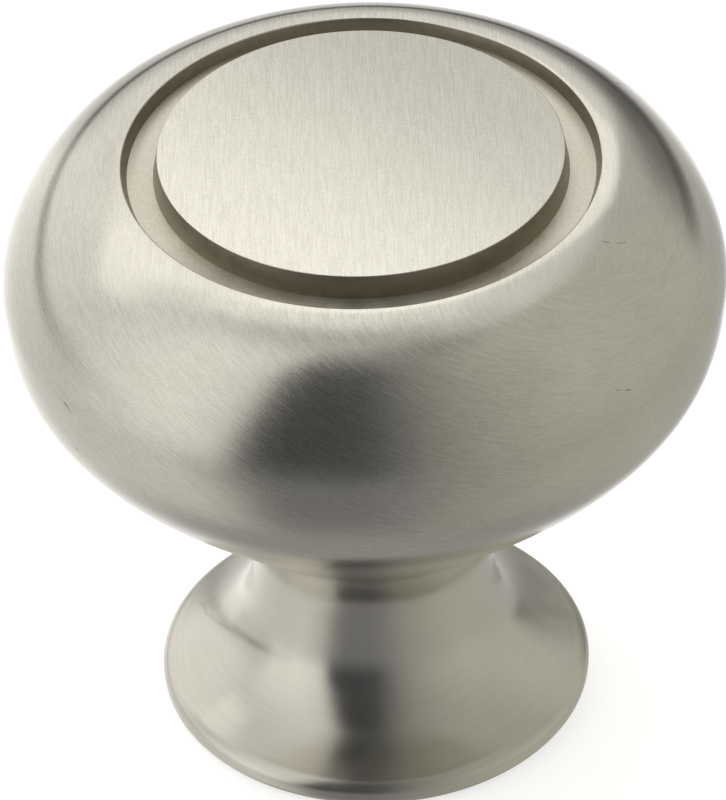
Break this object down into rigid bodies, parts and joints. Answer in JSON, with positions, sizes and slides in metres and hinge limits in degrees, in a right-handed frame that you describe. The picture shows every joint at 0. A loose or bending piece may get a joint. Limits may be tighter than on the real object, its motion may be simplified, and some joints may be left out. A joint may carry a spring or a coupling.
{
  "type": "cabinet knob",
  "caption": "Round cabinet knob with a bun-shaped head, a flat disc in a ring groove on top, a waisted neck and a flared foot tapped for a machine screw.",
  "frame": {"origin": "centre of the seat under the foot, on the face that meets the door or drawer front", "axes": "+Z along the knob's axis, from the seat to the flat disc on top; +Y away from the side that the picture shows, and the disc is brushed along Y"},
  "size_m": [0.032, 0.032, 0.0297],
  "materials": {
    "satin_nickel": "warm satin nickel plating, brushed on the disc and the head, smoother on the neck and the foot"
  },
  "bodies": {
    "root": {"knob_body": "satin_nickel"}
  },
  "joints": []
}
